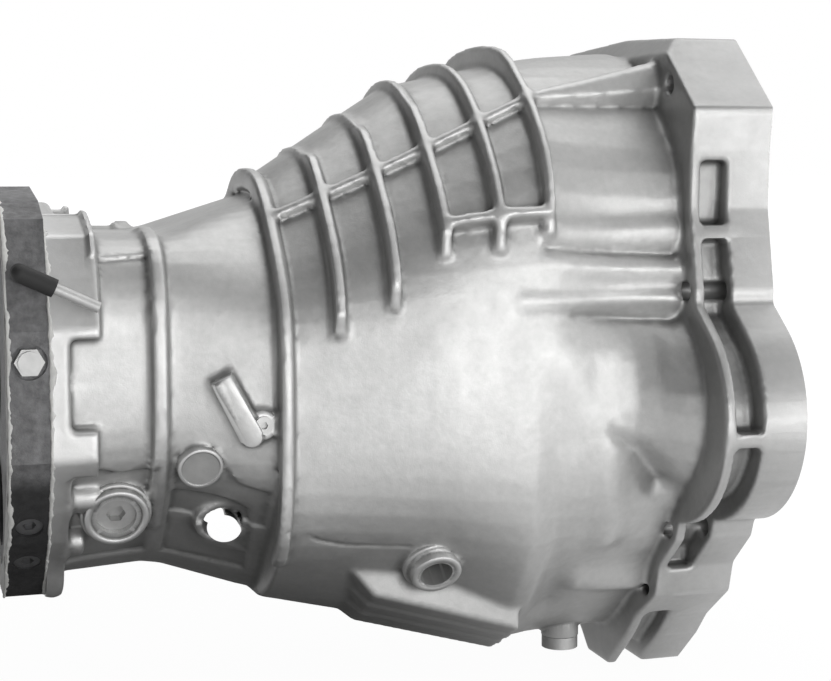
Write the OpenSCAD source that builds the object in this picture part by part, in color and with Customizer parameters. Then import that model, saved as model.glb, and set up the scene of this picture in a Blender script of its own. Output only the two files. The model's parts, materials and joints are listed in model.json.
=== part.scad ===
// Front case of a rear-drive manual gearbox, with its bell housing in one casting.
// Origin: where the shaft axis crosses the engine joint face.
// +X points to the engine, +Z up, and -Y is the starter side.

/* [Length along the shaft] */
// Engine face to the rear joint face of the case
case_len = 408; // [395:1:430]
// Engine face to the narrow neck of the gear case
neck_x = 345; // [330:1:360]
// Engine face to the seam where the bell begins
seam_x = 283; // [275:1:295]
// Engine face to the front face of the bulkhead
crown_x = 195; // [188:1:200]
// Engine face to the widest ribbed section of the bell
wide_x = 135; // [125:1:145]
// Engine face to the waist between that section and the mouth
waist_x = 102; // [90:1:112]
// Thickness of the engine flange
flange_t = 50; // [44:1:56]
// Thickness of the adapter plate
plate_t = 21; // [18:1:26]
// Thickness of each joint sheet
gasket_t = 1; // [0.5:0.5:2]

/* [Gear case sections] */
// Rear section: axis to its top, side and bottom
rear_walls = [78, 101, 126]; // [70:1:140]
// Rear section: axis to its upper and lower slopes
rear_slopes = [117, 106]; // [95:1:125]
// Neck section: axis to its top, side and bottom
neck_walls = [77, 100, 122]; // [70:1:140]
// Neck section: axis to its upper and lower slopes
neck_slopes = [113, 102]; // [95:1:125]
// Seam section: axis to its top, side and bottom
seam_walls = [99, 108, 145]; // [90:1:150]
// Seam section: axis to its upper and lower slopes
seam_slopes = [106, 118]; // [95:1:130]

/* [Bell sections] */
// Bell rear section: axis to its top, side and bottom
back_walls = [108, 111, 143]; // [100:1:150]
// Bell rear section: axis to its upper and lower slopes
back_slopes = [108, 138]; // [100:1:140]
// Bulkhead section: axis to its top, side and bottom
crown_walls = [166, 127, 168]; // [120:1:180]
// Bulkhead section: axis to its upper and lower slopes
crown_slopes = [145, 144]; // [130:1:160]
// Wide section: axis to its top, side and bottom
wide_walls = [177, 131, 183]; // [125:1:190]
// Wide section: axis to its upper and lower slopes
wide_slopes = [171, 165]; // [140:1:180]
// Waist section in front of it: axis to its top, side and bottom
waist_walls = [184, 127, 188]; // [120:1:200]
// Waist section: axis to its upper and lower slopes
waist_slopes = [167, 150]; // [135:1:180]
// Mouth section: axis to its top, side and bottom
mouth_walls = [189, 124, 192]; // [115:1:205]
// Mouth section: axis to its upper and lower slopes
mouth_slopes = [163, 144]; // [130:1:180]
// Wall of the casting
wall = 6; // [5:0.5:7]
// Thickness of the bulkhead
bulkhead_t = 14; // [12:1:18]

/* [Starter bulge and lobes] */
// Distance from the shaft axis to the starter axis
starter_out = 98; // [92:1:104]
// Height of the starter axis
starter_z = -24; // [-32:1:-16]
// Outer radius of the starter bulge at the flange
starter_r = 56; // [50:1:60]
// Length of the starter bulge behind the flange
starter_len = 72; // [60:1:85]
// Radius of the starter lobe on the flange
lobe_r = 65; // [60:1:70]

/* [Engine flange] */
// Flange top above the axis
flange_top = 195; // [192:1:200]
// Flange bottom below the axis
flange_bottom = 206; // [202:1:210]
// Half width of the flange at its upper pads
flange_half = 127; // [124:1:132]
// Thickness of the flange's front plate
front_plate_t = 27; // [20:1:32]
// Thickness of the flange's rear rib
rear_rib_t = 7; // [5:1:10]
// Depth of the channel between them
channel_d = 14; // [8:1:16]
// Radius of an engine bolt hole
engine_hole_r = 5.5; // [4.5:0.5:6]

/* [Ribs] */
// Width of a rib
rib_w = 6; // [4:0.5:8]
// Height of a rib on the side of the bell
rib_h = 9; // [5:0.5:11]
// Height of the seam rib on the sides, and over the top
seam_rib_heights = [7, 7]; // [3:0.5:9]
// Height of the neck rib
neck_rib_h = 6; // [4:0.5:9]
// Engine face to each cross rib of the bell
cross_ribs = [254, 224, 195, 165]; // [130:1:270]
// Engine face to the foremost cross rib
front_rib_x = 136; // [130:1:142]
// Degrees from the top to the long upper rib: at the seam, at the foremost rib, at the flange
long_rib_angles = [39, 30, 23.5]; // [20:0.5:42]
// Height, width and chamfer of that rib where it runs out into the flange as a shoulder
shoulder_size = [20, 28, 11]; // [6:1:32]

/* [Rear joint] */
// Top of the adapter plate above the axis
plate_top = 104; // [100:1:110]
// Half width of the rear joint
joint_half = 110; // [108:1:114]
// Bottom of the rear joint below the axis
joint_bottom = 130; // [128:1:136]
// Thickness of the case's rear flange
rear_flange_t = 10; // [8:1:14]
// Radius of a rear bolt hole
rear_hole_r = 4.5; // [3.5:0.5:5]
// Radius of a locating dowel
dowel_r = 4; // [3:0.5:5]
// Length of a locating dowel
dowel_l = 20; // [16:1:24]

/* [Shafts and bearings] */
// Drop from the input shaft to the countershaft
counter_drop = 78; // [76:1:82]
// Outer radius of the input bearing
input_outer_r = 40; // [39:0.5:41]
// Bore radius of the input bearing
input_inner_r = 20; // [18:0.5:21]
// Width of the input bearing
input_brg_w = 18; // [16:1:20]
// Ball radius of the input bearing
input_ball_r = 5.5; // [5:0.1:5.8]
// Number of balls in the input bearing
input_balls_n = 9; // [7:1:10]
// Outer radius of the countershaft roller bearing
counter_outer_r = 26; // [24:0.5:27]
// Radius of the countershaft journal that the rollers run on
counter_inner_r = 14; // [12:0.5:15]
// Roller radius of the countershaft bearing
roller_r = 3.5; // [3:0.1:4]
// Number of rollers
rollers_n = 11; // [8:1:12]
// Bore radius of the output shaft bearing seat in the plate
output_seat_r = 36; // [32:0.5:38]

/* [Front retainer] */
// Radius of the retainer's flange
retainer_r = 57; // [55:0.5:59]
// Thickness of the retainer's flange
retainer_t = 8; // [6:0.5:10]
// Outer radius of its guide sleeve
sleeve_r = 18; // [17:0.5:19]
// Bore radius of its guide sleeve
sleeve_bore_r = 15.5; // [15:0.1:16]
// Reach of the guide sleeve in front of the bulkhead
sleeve_reach = 96; // [88:1:105]
// Radius of the circle of retainer bolts
retainer_bolt_ring = 49; // [48:0.5:50]
// Radius of a retainer bolt's thread
retainer_bolt_r = 4; // [3:0.5:4]

/* [Clutch release] */
// Distance from the shaft axis to the fork's ball stud
pivot_out = 76; // [74:1:80]
// Ball radius of the stud
pivot_ball_r = 8; // [7:0.5:9]
// Reach of the fork's tip from the shaft axis
fork_reach = 172; // [160:1:185]
// Thickness of the fork
fork_t = 11; // [10:0.5:13]
// Swing of the fork in degrees
fork_swing = 8; // [4:0.5:8]
// Outer radius of the release hub
hub_r = 23; // [22:0.5:24]
// Length of the release hub
hub_l = 40; // [36:1:44]
// Outer radius of the release bearing
release_r = 38; // [36:0.5:42]

/* [Plugs and fittings] */
// Radius of the filler plug
filler_r = 11; // [9:0.5:12]
// Radius of the open side port
port_r = 11; // [8:0.5:12]
// Radius of the opening across from it
far_port_r = 15; // [12:0.5:18]
// Radius of the bell's underside plug
drain_r = 11.5; // [9:0.5:13]
// Radius of a detent plug
detent_r = 7.5; // [6:0.5:8.5]
// Radius of the plate's side plug
side_plug_r = 8; // [7:0.5:9]
// Radius of the vent pipe
vent_r = 3; // [2.5:0.1:3.5]
// Length of the vent pipe
vent_l = 37; // [30:1:45]

/* [Hidden] */
$fn = 64;

// Radial clearance between pieces fixed in each other
fit_gap = 0.05;
// Clearance between pieces that move past each other
run_gap = 0.3;
// Overlap that makes neighbouring volumes of one casting join
bite = 2;
// Sharpness of the rounded corners of a section
sharpness = 12;
// Points round one outer section, and round one hollow section
outer_points = 72;
hollow_points = 48;
// Spacing of the sections along the shaft
ring_step = 12;

rear_x = -case_len;
bulkhead_x = -crown_x;
plate_front = rear_x - gasket_t;
plate_rear = plate_front - plate_t;
// The flange is thicker round the inside than the bell's wall by this much
flange_lip = 9;
channel_x = -flange_t + rear_rib_t;
channel_w = flange_t - rear_rib_t - front_plate_t;

gear_case_stations = [
    [rear_x, concat(rear_walls, rear_slopes)],
    [-neck_x, concat(neck_walls, neck_slopes)],
    [-seam_x, concat(seam_walls, seam_slopes)]];
bell_stations = [
    [-seam_x, concat(back_walls, back_slopes)],
    [-crown_x, concat(crown_walls, crown_slopes)],
    [-wide_x, concat(wide_walls, wide_slopes)],
    [-waist_x, concat(waist_walls, waist_slopes)],
    [-flange_t, concat(mouth_walls, mouth_slopes)]];

// Distances of a section's flat sides from the axis at x
function section_at(stations, x) =
    [for (k = [0:4]) lookup(x, [for (s = stations) [s[0], s[1][k]]])];

// Share that one flat side, facing angle f, has in the reach at angle a
function side_share(a, f, d) = pow(max(0, cos(a - f)) / d, sharpness);

// Reach of a rounded eight-sided section at angle a, where 0 is +Y and 90 is up
function section_reach(w, a) = pow(
    side_share(a, 90, w[0]) + side_share(a, 0, w[1]) + side_share(a, 180, w[1])
    + side_share(a, 270, w[2]) + side_share(a, 45, w[3]) + side_share(a, 135, w[3])
    + side_share(a, 225, w[4]) + side_share(a, 315, w[4]), -1 / sharpness);

// The larger of two reaches, with a rounded valley of width k between them
function soft_max(a, b, k) = max(a, b) + pow(max(k - abs(a - b), 0), 2) / (4 * k);

// Reach of a circle with its centre at c and radius r at angle a
function circle_reach(c, r, a) =
    let (along = c[0] * cos(a) + c[1] * sin(a), gap = r * r - c * c + along * along)
    gap < 0 ? 0 : along + sqrt(gap);

// The starter bulge shrinks and sinks towards the axis behind the flange
function starter_share(x) = max(0, min(1, (-flange_t - x) / starter_len));
function starter_reach(x, a) = circle_reach(
    [-starter_out, starter_z] * (1 - 0.34 * starter_share(x)),
    starter_r * (1 - 0.3 * starter_share(x)), a);

// Two shallow hollows run along each side of the bell and fade to the rear
hollow_d = 8;
hollow_angles = [16, 34, 146, 164];
hollow_spread = 7;
function hollow_fade(x) = max(0, min(1, (x + wide_x + 22) / 60));
function hollow_bell(a, at, spread) = exp(-pow((a - at) / spread, 2));
// A wider hollow lies on the far side of the top, and fades to the front
far_hollow_d = 11;
far_hollow_a = 62;
far_hollow_spread = 15;
function far_hollow_fade(x) = max(0, min(1, (-x - cross_ribs[2] - 10) / 60));
function hollows(x, a) = -hollow_d * hollow_fade(x)
    * max([for (at = hollow_angles) hollow_bell(a, at, hollow_spread)])
    - far_hollow_d * far_hollow_fade(x) * hollow_bell(a, far_hollow_a, far_hollow_spread);

function gear_case_reach(x, a) = section_reach(section_at(gear_case_stations, x), a);
function bell_reach(x, a) = soft_max(
    section_reach(section_at(bell_stations, x), a) + hollows(x, a), starter_reach(x, a), 14);
function reach(x, a) = x < -seam_x ? gear_case_reach(x, a) : bell_reach(x, a);

function steps(from, to, pitch) =
    let (n = max(1, round((to - from) / pitch))) [for (i = [0:n]) from + (to - from) * i / n];
function turn(n) = [for (i = [0:n - 1]) 360 * i / n];
function mirrored(pts) = concat(pts, [for (i = [len(pts) - 1:-1:0]) [-pts[i][0], pts[i][1]]]);
function shrunk(pts, d) = [for (p = pts) p * (1 - d / norm(p))];

// A closed solid through rings of points, where each ring has n points
module loft(rings, n) {
    last = len(rings) - 1;
    polyhedron(
        points = [for (r = rings) each r],
        faces = concat(
            [[for (i = [0:n - 1]) i]],
            [for (k = [0:last - 1], i = [0:n - 1])
                [k * n + i, (k + 1) * n + i, (k + 1) * n + (i + 1) % n, k * n + (i + 1) % n]],
            [[for (i = [n - 1:-1:0]) last * n + i]]));
}

function gear_case_ring(x, inset, n) = [for (a = turn(n))
    let (r = gear_case_reach(x, a) - inset) [x, r * cos(a), r * sin(a)]];
function bell_ring(x, inset, n, place) = [for (a = turn(n))
    let (r = bell_reach(x, a) - inset) [is_undef(place) ? x : place, r * cos(a), r * sin(a)]];

// Children are drawn in Y and Z and stand from x towards the engine by depth
module across(x, depth) translate([x, 0, 0]) rotate([90, 0, 90]) linear_extrude(depth) children();

// Children are turned so that their +Y points along angle a round the shaft axis
module at_angle(a) rotate([a, 0, 0]) children();

// A round bar along X, from x towards the engine
module bar_x(x, l, r, y = 0, z = 0) translate([x, y, z]) rotate([0, 90, 0]) cylinder(h = l, r = r);

// A round bar that stands on point p along angle a, from low to high
module bar_out(p, a, low, high, r)
    translate(p) at_angle(a) rotate([-90, 0, 0]) translate([0, 0, low]) cylinder(h = high - low, r = r);

// Turned shapes: the profile is drawn as [radius, distance along X]
module turned(x, y = 0, z = 0) translate([x, y, z]) rotate([0, 90, 0]) rotate_extrude() children();

// Cross rib from angle a0 to a1, with its height given by a function of the angle
module cross_rib(x, a0, a1, side_h, top_h, w) {
    angles = steps(a0, a1, 5);
    fade = 16;
    across(x - w / 2, w)
        polygon(concat(
            [for (a = angles)
                let (end = min(1, (min(a - a0, a1 - a) + 1.5) / 5),
                     h = a < 90 + fade && a > 90 - fade ? top_h
                         : top_h + (side_h - top_h) * min(1, (abs(a - 90) - fade) / 8),
                     r = reach(x, a) + h * end)
                [r * cos(a), r * sin(a)]],
            [for (i = [len(angles) - 1:-1:0])
                let (a = angles[i], r = reach(x, a) - wall + 1) [r * cos(a), r * sin(a)]]));
}

// Long rib on the casting, swept from x0 to x1; angle, height and width each go from one value to another
function between(pair, t) = pair[0] + (pair[1] - pair[0]) * t;
function rib_ring(x, a, low, high, half_w, c) =
    [for (p = [[low, -half_w], [high - c, -half_w], [high, c - half_w], [high, half_w - c],
        [high - c, half_w], [low, half_w]])
        [x, p[0] * cos(a) - p[1] * sin(a), p[0] * sin(a) + p[1] * cos(a)]];
module long_rib(x0, x1, angles, heights, widths, chamfers = [1, 1]) loft([for (x = steps(x0, x1, ring_step))
    let (t = (x - x0) / (x1 - x0), a = between(angles, t), h = between(heights, t))
    rib_ring(x, a, reach(x, a) - wall + 1, reach(x, a) + h,
        between(widths, t) / 2, between(chamfers, t))], 6);

// Engine flange outline, drawn in by inset
pad_z = 149;
pad_foot_z = 125;
flange_side_points = [[0, flange_top], [-82, flange_top - 4], [-flange_half - 3, pad_z],
    [-flange_half, pad_foot_z], [-flange_half + 1, 92], [-flange_half - 8, 44], [-flange_half - 3, -60],
    [-114, -104], [-92, -125], [-87, -144], [-58, -166], [-44, -182], [-17, -flange_bottom]];
module flange_outline(inset = 0) {
    polygon(shrunk(mirrored(flange_side_points), inset));
    translate([-starter_out - 14, starter_z - 4]) circle(r = lobe_r - inset);
    translate([-starter_out - 14, starter_z - 4]) rotate(38) square([lobe_r * 1.06 - inset, lobe_r - inset]);
}

// Engine bolt holes, the same on both sides
engine_holes = [[96, 163], [122, 44], [104, -99], [70, -139]];
web_heights = [78, -36];
web_w = 8;

module flange_channel() difference() {
    scale(1.2) flange_outline();
    flange_outline(channel_d);
    translate([-200, 119]) square([400, 120]);
    for (s = [-1, 1]) translate([s * 84 - 40, -160]) square([80, 34]);
    for (z = web_heights) translate([-200, z - web_w / 2]) square([400, web_w]);
    for (i = [0, 3], s = [-1, 1]) translate([s * engine_holes[i][0], engine_holes[i][1]])
        circle(r = engine_hole_r + 4);
}

// Rear joint outline with its top at the given height
module joint_outline(top) polygon(mirrored([[0, top], [-58, top - 7], [-88, top - 16],
    [-joint_half + 10, 58], [-joint_half, 30], [-joint_half, -40], [-91, -70], [-76, -90],
    [-30, -joint_bottom]]));
rear_holes = [[50, 84], [103, 34], [103, -30], [86, -63.5], [45, -107]];
// Depth of each tapped hole in the casting, where the first two lie in the thick blocks
rear_hole_depths = [23, 23, 8, 8, 8];
dowel_at = [103, 2];

module rear_hole_set() for (p = rear_holes, s = [-1, 1])
    translate([s * p[0], p[1]]) circle(r = rear_hole_r, $fn = 32);
module dowel_set(r) for (s = [-1, 1]) translate([s * dowel_at[0], dowel_at[1]]) circle(r = r, $fn = 32);
module gear_opening() polygon([for (a = turn(hollow_points))
    let (r = gear_case_reach(rear_x, a) - wall) [r * cos(a), r * sin(a)]]);

// Face centres of the bosses on the starter side, and the angles round the axis that they face
slope_a = 216;
filler_at = [35.8 - case_len, -82.6, -77.5];
filler_a = 204;
port_at = [-311, -71.5, -88.7];
disc_at = [-328, -93, -47];
disc_a = 202;
bell_boss_at = [-192.6, -99.8, -117.9];
bell_boss_r = 14.5;
bell_boss_bore = 9.5;
bell_bore_l = 15;
drain_at = [-83, -16, -184];
// Opening on the far side, in line with the open port as seen from the starter side
far_port_at = [-288.5, 50.5, -115.5];
far_port_a = 345;
lug_at = [-308, -104, -16];
lug_tilt = 62;
lug_screw_at = [-295, -104, -25];
lug_screw_r = 5;
window_x = -171;
window_half_x = 19;
window_half_z = 23;
window_face = 136;

module lug_block() translate(lug_at) rotate([0, lug_tilt, 0]) {
    translate([-20, -7, -6]) cube([36, 14, 12]);
    translate([16, 7, 0]) rotate([90, 0, 0]) cylinder(h = 14, r = 6);
}

// Input bearing seats from the bulkhead's front face backwards
input_front = bulkhead_x - 2.5;
input_rear = input_front - input_brg_w;
snap_w = 2;
snap_r = input_outer_r + 4;
counter_front = bulkhead_x - 1;
counter_w = 16;
input_boss_l = 26;
pivot_boss_r = 13;
pivot_boss_l = 6;
stud_r = 5;
stud_l = 16;

// Foot under the bell: half width of each step of its underside, and its share of the drop
foot_steps = [[84, 0], [70, 0.28], [70, 0.34], [54, 0.62], [54, 0.68], [38, 0.94], [38, 1]];
// Foot sections along X, with the heights of the outer edge and of the bottom
foot_sections = [[-242, -112, -145], [-226, -132, -158], [-136, -159, -183]];
foot_depth = 40;
function foot_ring(s) = let (drop = s[2] - s[1], half_w = foot_steps[0][0], top = s[1] + foot_depth)
    [for (p = concat([[half_w, top], [-half_w, top]], [for (k = foot_steps) [-k[0], s[1] + drop * k[1]]],
        [for (i = [len(foot_steps) - 1:-1:0]) [foot_steps[i][0], s[1] + drop * foot_steps[i][1]]]))
        [s[0], p[0], p[1]]];

module casting_shell() {
    loft([for (x = steps(rear_x, -seam_x + bite, ring_step)) gear_case_ring(x, 0, outer_points)],
        outer_points);
    loft([for (x = steps(-seam_x, -flange_t + bite, ring_step)) bell_ring(x, 0, outer_points)],
        outer_points);
    across(rear_x, rear_flange_t) joint_outline(plate_top - 9);
    across(-flange_t, flange_t) flange_outline();
}

module casting_ribs() {
    for (a = [116, -58]) cross_rib(-neck_x - 5, a, a + 122, neck_rib_h, 0, rib_w + 2);
    cross_rib(-seam_x, -52, 232, seam_rib_heights[0], seam_rib_heights[1], rib_w + 1);
    top_heights = [1, 2, 4, 8];
    end_angles = [169, 163, 152, 152];
    for (i = [0:3]) cross_rib(-cross_ribs[i], 180 - end_angles[i], end_angles[i], rib_h,
        top_heights[i], rib_w);
    cross_rib(-front_rib_x, 180 - 149, 149, rib_h, 13, rib_w);
    for (s = [-1, 1]) {
        angles = [for (a = long_rib_angles) 90 + s * a];
        long_rib(-seam_x, -front_rib_x, [angles[0], angles[1]], [rib_h - 2, rib_h - 2], [rib_w, rib_w]);
        long_rib(-front_rib_x, -flange_t + bite, [angles[1], angles[2]], [rib_h - 2, shoulder_size[0]],
            [rib_w, shoulder_size[1]], [1, shoulder_size[2]]);
        long_rib(-cross_ribs[2], -front_rib_x, [90 + s * 55, 90 + s * 55], [rib_h, rib_h], [rib_w, rib_w]);
    }
}

module casting_bosses() {
    // Thick blocks behind the rear flange
    across(rear_x, rear_flange_t + 16) intersection() {
        joint_outline(plate_top - 9);
        for (s = [-1, 1]) translate([s * 85 - 42, 25]) square([84, 80]);
    }
    across(rear_x, rear_flange_t + 14) intersection() {
        joint_outline(plate_top - 9);
        for (s = [-1, 1]) translate([s * 100 - 20, -51]) square([40, 15]);
    }
    bar_out(filler_at, filler_a, -24, 0, filler_r + 6.5);
    bar_out(filler_at, filler_a, -24, -4, filler_r + 8.5);
    bar_out(port_at, slope_a, -10, 0, port_r + 5);
    bar_out(disc_at, disc_a, -22, 6, 12.3);
    bar_out(bell_boss_at, slope_a, -24, 0, bell_boss_r);
    bar_out(bell_boss_at, slope_a, -24, -6, bell_boss_r + 3.5);
    bar_out(drain_at, 270, -16, 0, drain_r);
    // Rounded lugs behind the lower half of the rear flange
    bar_x(rear_x + rear_flange_t - bite, 17, 9, -81, -66);
    bar_x(rear_x + rear_flange_t - bite, 12, 9, -58, -95);
    lug_block();
    bar_out(lug_screw_at, 180, -10, 5, 8);
    // Pad round the fork window on the far side
    translate([window_x - window_half_x - 8, 112, -window_half_z - 9])
        cube([2 * window_half_x + 16, window_face - 112, 2 * window_half_z + 18]);
    loft([for (s = foot_sections) foot_ring(s)], 2 * len(foot_steps) + 2);
}

module casting_hollows() {
    loft(concat(
        [for (x = steps(rear_x - 1, wall - seam_x, ring_step * 2)) gear_case_ring(x, wall, hollow_points)],
        [for (x = steps(wall - seam_x + 2, bulkhead_x - bulkhead_t, ring_step * 2))
            bell_ring(x, wall, hollow_points)]), hollow_points);
    loft(concat(
        [for (x = steps(bulkhead_x, -flange_t, ring_step * 2)) bell_ring(x, wall, hollow_points)],
        [for (place = [flange_lip - flange_t, 1])
            bell_ring(-flange_t, wall + flange_lip, hollow_points, place)]),
        hollow_points);
}

module bulkhead_bosses() {
    bar_x(bulkhead_x - input_boss_l, input_boss_l, input_outer_r + 14);
    bar_x(bulkhead_x - input_boss_l, input_boss_l, counter_outer_r + 9, 0, -counter_drop);
    bar_x(bulkhead_x - bulkhead_t, bulkhead_t + pivot_boss_l, pivot_boss_r, pivot_out, 0);
    bar_out(bell_boss_at, slope_a, -bell_bore_l - 5, -10, bell_boss_r);
}

module front_case() color("gainsboro") difference() {
    union() {
        difference() {
            union() {
                casting_shell();
                casting_ribs();
                casting_bosses();
            }
            casting_hollows();
        }
        bulkhead_bosses();
    }
    across(channel_x, channel_w) flange_channel();
    // Chamfer along the rear top edge of the flange
    rotate([90, 0, 0]) linear_extrude(2 * flange_top, center = true) polygon([
        [-flange_t - 1, flange_top - 15], [-flange_t + 20, flange_top + 5], [-flange_t - 1, flange_top + 5]]);
    for (p = engine_holes, s = [-1, 1])
        bar_x(-flange_t - 1, flange_t + 2, engine_hole_r, s * p[0], p[1], $fn = 32);
    for (i = [0:len(rear_holes) - 1], s = [-1, 1])
        bar_x(rear_x - 1, rear_hole_depths[i] + 1, rear_hole_r, s * rear_holes[i][0], rear_holes[i][1],
            $fn = 32);
    across(rear_x - 1, dowel_l / 2 + 1) dowel_set(dowel_r + fit_gap);
    bar_x(input_rear, input_brg_w + 5, input_outer_r + fit_gap);
    bar_x(bulkhead_x - input_boss_l - 1, input_boss_l + 2, input_outer_r - 4);
    bar_x(input_front - 0.1, 4, snap_r + 0.5);
    bar_x(bulkhead_x - input_boss_l - 1, input_boss_l + 2, counter_outer_r + fit_gap, 0, -counter_drop);
    bar_x(bulkhead_x + pivot_boss_l - stud_l, stud_l + 1, stud_r + fit_gap, pivot_out, 0, $fn = 32);
    for (a = retainer_bolt_angles) bolt_hole(a);
    bar_out(filler_at, filler_a, -30, 3, filler_r + fit_gap);
    bar_out(port_at, slope_a, -30, 3, port_r);
    bar_out(port_at, slope_a, 0, 9, port_r + 5);
    bar_out(far_port_at, far_port_a, -25, 25, far_port_r);
    bar_out(bell_boss_at, slope_a, -bell_bore_l, 1, bell_boss_bore);
    bar_out(drain_at, 270, -30, 3, drain_r - 3 + fit_gap);
    bar_out(lug_screw_at, 180, -8, 12, lug_screw_r + fit_gap);
    translate([window_x - window_half_x, 90, -window_half_z])
        cube([2 * window_half_x, 60, 2 * window_half_z]);
    for (p = boot_holes) bar_out([p[0], window_face, p[1]], 0, -10, 1, boot_screw_r + fit_gap);
}

module case_gasket() color("whitesmoke") across(plate_front, gasket_t) difference() {
    joint_outline(plate_top - 9);
    gear_opening();
    rear_hole_set();
    dowel_set(dowel_r + fit_gap);
}

module adapter_plate() color("dimgray") difference() {
    union() {
        across(plate_rear, plate_t) joint_outline(plate_top);
        vent_nipple();
    }
    across(plate_rear - 1, plate_t + 2) rear_hole_set();
    across(plate_front - dowel_l / 2, dowel_l) dowel_set(dowel_r + fit_gap);
    bar_x(plate_rear - 1, plate_t + 2, output_seat_r);
    bar_x(plate_rear - 1, plate_t + 2, counter_outer_r + 2, 0, -counter_drop);
    for (y = rail_places) bar_x(plate_rear - 1, plate_t + 2, rail_r, y, rail_z, $fn = 32);
    bar_out(side_plug_at, 180, -14, 1, side_plug_r - 3 + fit_gap, $fn = 32);
    bar_out(side_plug_at, 180, -2, 1, side_plug_r + 1.5);
    for (i = [0, 1]) bar_out(detent_places[i], detent_angles[i], -12, 2, detent_r + fit_gap);
}

module rear_gasket() color("whitesmoke") across(plate_rear - gasket_t, gasket_t) difference() {
    joint_outline(plate_top);
    gear_opening();
    rear_hole_set();
}

module case_dowels() color("lightgray") across(plate_front - dowel_l / 2 + 0.5, dowel_l - 1)
    dowel_set(dowel_r);

// Shift rail bores, side plug and detent plugs of the plate
rail_places = [-26, 0, 26];
rail_z = 62;
rail_r = 7;
plate_mid = plate_front - plate_t / 2;
side_plug_at = [plate_mid, -joint_half, 14];
detent_places = [[plate_mid, -83, -79], [plate_mid, -60, -104]];
detent_angles = [217, 229];

module side_plug() color("gainsboro") {
    bar_out(side_plug_at, 180, -12, -2, side_plug_r - 3, $fn = 32);
    bar_out(side_plug_at, 180, -2, 2, side_plug_r, $fn = 6);
    bar_out(side_plug_at, 180, 1, 3.5, side_plug_r - 2);
}

module detent_plugs() color("darkgray") for (i = [0, 1]) difference() {
    bar_out(detent_places[i], detent_angles[i], -10, -1, detent_r);
    bar_out(detent_places[i], detent_angles[i], -5, 0, detent_r / 2, $fn = 6);
}

// Vent: a nipple on the plate, a rubber elbow and a metal pipe that points down and forward
vent_at = [plate_mid - 3.5, -joint_half + 6, 60.6];
vent_out = 8;
vent_drop_a = 25;
hose_r = 5;
hose_l = 19;
pipe_bite = 12;
module vent_nipple() bar_out(vent_at, 180, -12, vent_out - 3, vent_r);
module along_vent(from, to, r) translate(vent_at + [0, -vent_out, 0]) rotate([0, 90 + vent_drop_a, 0])
    translate([0, 0, from]) cylinder(h = to - from, r = r, $fn = 32);

module vent_hose() color("dimgray") difference() {
    union() {
        bar_out(vent_at, 180, run_gap, vent_out, hose_r);
        translate(vent_at + [0, -vent_out, 0]) sphere(r = hose_r, $fn = 48);
        along_vent(0, hose_l, hose_r);
    }
    bar_out(vent_at, 180, -1, vent_out - 2.5, vent_r + fit_gap);
    along_vent(hose_l - pipe_bite - 0.5, hose_l + 1, vent_r + fit_gap);
}

module vent_pipe() color("gainsboro") difference() {
    along_vent(hose_l - pipe_bite, hose_l - pipe_bite + vent_l, vent_r);
    along_vent(hose_l - pipe_bite - 1, hose_l + vent_l, vent_r - 1);
}

module filler_plug() color("silver") difference() {
    bar_out(filler_at, filler_a, -16, -5, filler_r);
    bar_out(filler_at, filler_a, -10, -4, filler_r / 2, $fn = 6);
}

module drain_plug() color("silver") {
    bar_out(drain_at, 270, -12, 0.1, drain_r - 3);
    bar_out(drain_at, 270, 0.1, 7.5, drain_r);
}

module lug_screw() color("silver") difference() {
    bar_out(lug_screw_at, 180, -7.5, 6.5, lug_screw_r);
    bar_out(lug_screw_at, 180, 4.5, 8, 2.2, $fn = 6);
}

// Front bearing retainer with its guide sleeve
retainer_back = bulkhead_x + gasket_t / 2;
retainer_front = retainer_back + retainer_t;
retainer_bolt_angles = [30, 90, 150, 215, 325];
seal_r = 25;
seal_w = 8;
function bolt_place(a) = [retainer_bolt_ring * cos(a), retainer_bolt_ring * sin(a)];
counter_cover_r = counter_outer_r + 6;

module bolt_hole(a)
    bar_x(bulkhead_x - 13, 16, retainer_bolt_r + fit_gap, bolt_place(a)[0], bolt_place(a)[1], $fn = 32);

module retainer_outline(inset = 0) {
    circle(r = retainer_r - inset);
    translate([0, -counter_drop]) circle(r = counter_cover_r - inset);
    translate([-30, -counter_drop]) square([60, counter_drop]);
}

module front_retainer() color("lightgray") difference() {
    union() {
        across(retainer_back, retainer_t) retainer_outline();
        bar_x(retainer_back, retainer_t + 9, seal_r + 6);
        bar_x(retainer_back, sleeve_reach, sleeve_r);
    }
    bar_x(retainer_back - 1, sleeve_reach + 2, sleeve_bore_r);
    bar_x(retainer_back - 1, seal_w + 3, seal_r + fit_gap);
    for (a = retainer_bolt_angles)
        bar_x(retainer_back - 1, retainer_t + 2, retainer_bolt_r + 0.3, bolt_place(a)[0], bolt_place(a)[1],
            $fn = 32);
    bar_x(retainer_back - 1, 3, counter_inner_r + 4, 0, -counter_drop);
}

module retainer_gasket() color("tan") across(bulkhead_x, gasket_t / 2) difference() {
    retainer_outline(0.5);
    circle(r = snap_r + 1);
    translate([0, -counter_drop]) circle(r = counter_outer_r + 0.5);
    for (a = retainer_bolt_angles) translate(bolt_place(a)) circle(r = retainer_bolt_r + 0.3, $fn = 32);
}

module retainer_bolts() color("gray") for (a = retainer_bolt_angles) {
    bar_x(bulkhead_x - 12, 12 + gasket_t / 2 + retainer_t, retainer_bolt_r, bolt_place(a)[0],
        bolt_place(a)[1], $fn = 32);
    bar_x(retainer_front, 5.5, retainer_bolt_r * 1.75, bolt_place(a)[0], bolt_place(a)[1], $fn = 6);
}

module input_seal() color("black") turned(retainer_back + 0.3) polygon([[seal_r, 0], [seal_r, seal_w],
    [seal_r - 4, seal_w], [seal_r - 4, 2], [sleeve_bore_r + 1, 2], [sleeve_bore_r, 4],
    [sleeve_bore_r - 0.6, 3], [sleeve_bore_r, 0]]);

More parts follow.
